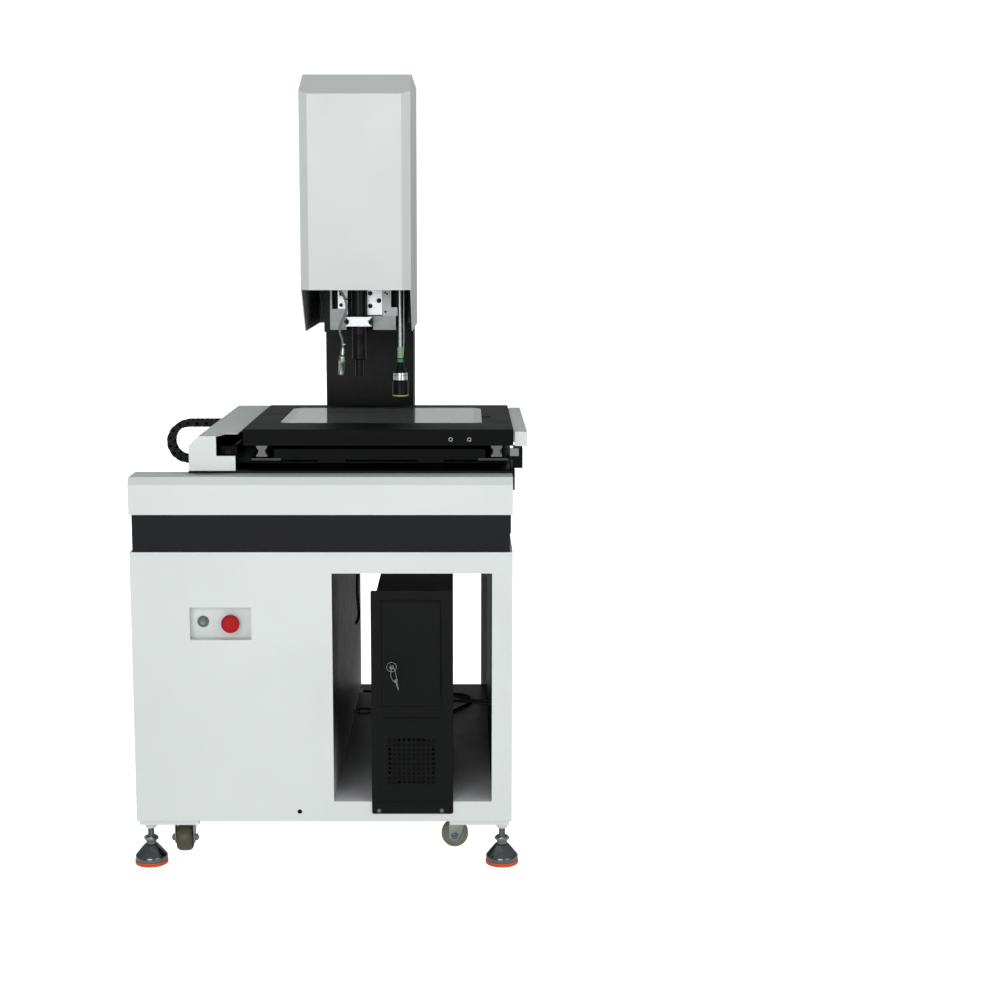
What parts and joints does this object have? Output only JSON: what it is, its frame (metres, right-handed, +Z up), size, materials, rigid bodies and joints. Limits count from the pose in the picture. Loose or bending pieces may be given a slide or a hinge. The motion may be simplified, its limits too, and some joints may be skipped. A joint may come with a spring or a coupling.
{
  "type": "vision measuring machine",
  "caption": "Floor-standing optical measuring machine: cabinet with computer bay, granite base, glass XY stage and covered vertical lens column.",
  "frame": {"origin": "on the floor, under the middle of the machine's bounding box", "axes": "+Z up, +X to the operator's right, +Y from the front to the back"},
  "size_m": [0.8684, 1.057, 1.751],
  "materials": {
    "white_paint": "white powder coat, low sheen",
    "black_paint": "black paint",
    "black_granite": "honed and painted black granite",
    "black_anodised": "black anodised aluminium",
    "clear_anodised": "clear anodised aluminium",
    "ground_steel": "ground bearing steel",
    "zinc_steel": "bright zinc plate",
    "chrome": "chrome plate",
    "galvanised_tube": "grey primer",
    "dark_floor": "dark gloss sheet",
    "orange_rubber": "orange rubber",
    "khaki_nylon": "cast nylon",
    "optical_glass": "float glass",
    "opal_acrylic": "opal diffuser",
    "black_plastic": "moulded black plastic",
    "red_plastic": "red moulded plastic",
    "black_rubber": "cable jacket",
    "grey_jacket": "grey cable jacket"
  },
  "bodies": {
    "base": {"cabinet_frame": "galvanised_tube", "top_deck": "black_paint", "front_panel": "white_paint", "side_panels": "white_paint", "rear_panel": "white_paint", "inner_panels": "dark_floor", "button_bodies": "chrome", "foot_pads": "orange_rubber", "foot_stems": "zinc_steel", "corner_plates": "white_paint", "fascia_band": "black_paint", "front_cover": "white_paint", "granite_base": "black_granite", "x_rails": "ground_steel", "x_drive_unit": "black_anodised", "column": "black_granite", "head_block": "black_paint", "z_base_plate": "clear_anodised", "z_drive_unit": "black_anodised", "z_cover": "white_paint", "pc_chassis": "black_paint", "pc_front_panel": "black_paint", "electrics": "zinc_steel", "bay_cord": "black_rubber", "cord_plug": "black_plastic", "drag_chain": "black_plastic"},
    "x_saddle": {"saddle": "black_anodised", "saddle_guides": "ground_steel", "scale_reader": "clear_anodised", "y_drive_unit": "black_anodised", "y_drive_cover": "white_paint"},
    "stage": {"stage_plate": "black_anodised", "y_rails": "ground_steel", "stage_glass": "optical_glass", "backlight_panel": "opal_acrylic", "y_scale_cover": "white_paint"},
    "z_head": {"z_carriages": "ground_steel", "z_slide_plate": "clear_anodised", "slide_blocks": "clear_anodised", "lens_clamp": "clear_anodised", "zoom_lens": "black_anodised", "side_probe": "black_anodised", "head_cable": "grey_jacket", "cable_connector": "zinc_steel"},
    "x_ball_screw": {"x_screw": "ground_steel"},
    "y_ball_screw": {"y_screw": "ground_steel"},
    "z_ball_screw": {"z_screw": "ground_steel"},
    "start_cap": {"start_button": "chrome"},
    "estop_plunger": {"estop_stem": "black_plastic"},
    "estop_knob": {"estop_head": "red_plastic"},
    "door": {"pc_door": "black_paint"},
    "key": {"lock_plug": "chrome"},
    "caster_swivel_front_left": {"caster_fork_front_left": "zinc_steel"},
    "wheel_front_left": {"caster_wheel_front_left": "khaki_nylon"},
    "caster_swivel_front_right": {"caster_fork_front_right": "zinc_steel"},
    "wheel_front_right": {"caster_wheel_front_right": "khaki_nylon"},
    "caster_swivel_rear_left": {"caster_fork_rear_left": "zinc_steel"},
    "wheel_rear_left": {"caster_wheel_rear_left": "khaki_nylon"},
    "caster_swivel_rear_right": {"caster_fork_rear_right": "zinc_steel"},
    "wheel_rear_right": {"caster_wheel_rear_right": "khaki_nylon"}
  },
  "joints": [
    {"name": "x_slide", "type": "slide", "parent": "base", "child": "x_saddle", "axis": [1, 0, 0], "range_m": [-0.264, 0.136], "deforming": ["drag_chain"]},
    {"name": "y_slide", "type": "slide", "parent": "x_saddle", "child": "stage", "axis": [0, 1, 0], "range_m": [-0.068, 0.232]},
    {"name": "z_slide", "type": "slide", "parent": "base", "child": "z_head", "axis": [0, 0, 1], "range_m": [-0.03, 0.17]},
    {"name": "x_screw_spin", "type": "hinge", "parent": "base", "child": "x_ball_screw", "pos_m": [-0.00775, -0.1615, 0.85], "axis": [1, 0, 0], "continuous": true},
    {"name": "y_screw_spin", "type": "hinge", "parent": "x_saddle", "child": "y_ball_screw", "pos_m": [-0.21275, -0.1615, 0.918], "axis": [0, 1, 0], "continuous": true},
    {"name": "z_screw_spin", "type": "hinge", "parent": "base", "child": "z_ball_screw", "pos_m": [0.05225, 0.0045, 1.4], "axis": [0, 0, 1], "continuous": true},
    {"name": "start_press", "type": "slide", "parent": "base", "child": "start_cap", "axis": [0, 1, 0], "range_m": [0, 0.0025], "stiffness_N_per_m": 400, "springref_m": -0.002},
    {"name": "estop_press", "type": "slide", "parent": "base", "child": "estop_plunger", "axis": [0, 1, 0], "range_m": [0, 0.004], "stiffness_N_per_m": 900, "springref_m": -0.004},
    {"name": "estop_twist", "type": "hinge", "parent": "estop_plunger", "child": "estop_knob", "pos_m": [-0.20575, -0.4915, 0.554], "axis": [0, 1, 0], "range_deg": [0, 35], "stiffness_Nm_per_rad": 0.05, "springref_deg": -11.46},
    {"name": "door_hinge", "type": "hinge", "parent": "base", "child": "door", "pos_m": [0.24595, -0.5033, 0.4895], "axis": [0, 0, 1], "range_deg": [0, 110]},
    {"name": "key_turn", "type": "hinge", "parent": "door", "child": "key", "pos_m": [0.14175, -0.5015, 0.462], "axis": [0, 1, 0], "range_deg": [0, 90]},
    {"name": "swivel_front_left", "type": "hinge", "parent": "base", "child": "caster_swivel_front_left", "pos_m": [-0.32275, -0.4035, 0.09], "axis": [0, 0, 1], "continuous": true},
    {"name": "roll_front_left", "type": "hinge", "parent": "caster_swivel_front_left", "child": "wheel_front_left", "pos_m": [-0.32275, -0.4335, 0.056], "axis": [1, 0, 0], "continuous": true},
    {"name": "swivel_front_right", "type": "hinge", "parent": "base", "child": "caster_swivel_front_right", "pos_m": [0.30725, -0.4035, 0.09], "axis": [0, 0, 1], "continuous": true},
    {"name": "roll_front_right", "type": "hinge", "parent": "caster_swivel_front_right", "child": "wheel_front_right", "pos_m": [0.27725, -0.4035, 0.056], "axis": [0, -1, 0], "continuous": true},
    {"name": "swivel_rear_left", "type": "hinge", "parent": "base", "child": "caster_swivel_rear_left", "pos_m": [-0.32275, 0.4305, 0.09], "axis": [0, 0, 1], "continuous": true},
    {"name": "roll_rear_left", "type": "hinge", "parent": "caster_swivel_rear_left", "child": "wheel_rear_left", "pos_m": [-0.33683, 0.45699, 0.056], "axis": [-0.8829, -0.4695, 0], "continuous": true},
    {"name": "swivel_rear_right", "type": "hinge", "parent": "base", "child": "caster_swivel_rear_right", "pos_m": [0.30725, 0.4305, 0.09], "axis": [0, 0, 1], "continuous": true},
    {"name": "roll_rear_right", "type": "hinge", "parent": "caster_swivel_rear_right", "child": "wheel_rear_right", "pos_m": [0.31993, 0.45769, 0.056], "axis": [-0.9063, 0.4226, 0], "continuous": true}
  ],
  "couplings": [
    {"joint": "x_screw_spin", "follows": "x_slide", "rad_per_m": 628.32},
    {"joint": "y_screw_spin", "follows": "y_slide", "rad_per_m": 628.32},
    {"joint": "z_screw_spin", "follows": "z_slide", "rad_per_m": 628.32}
  ]
}
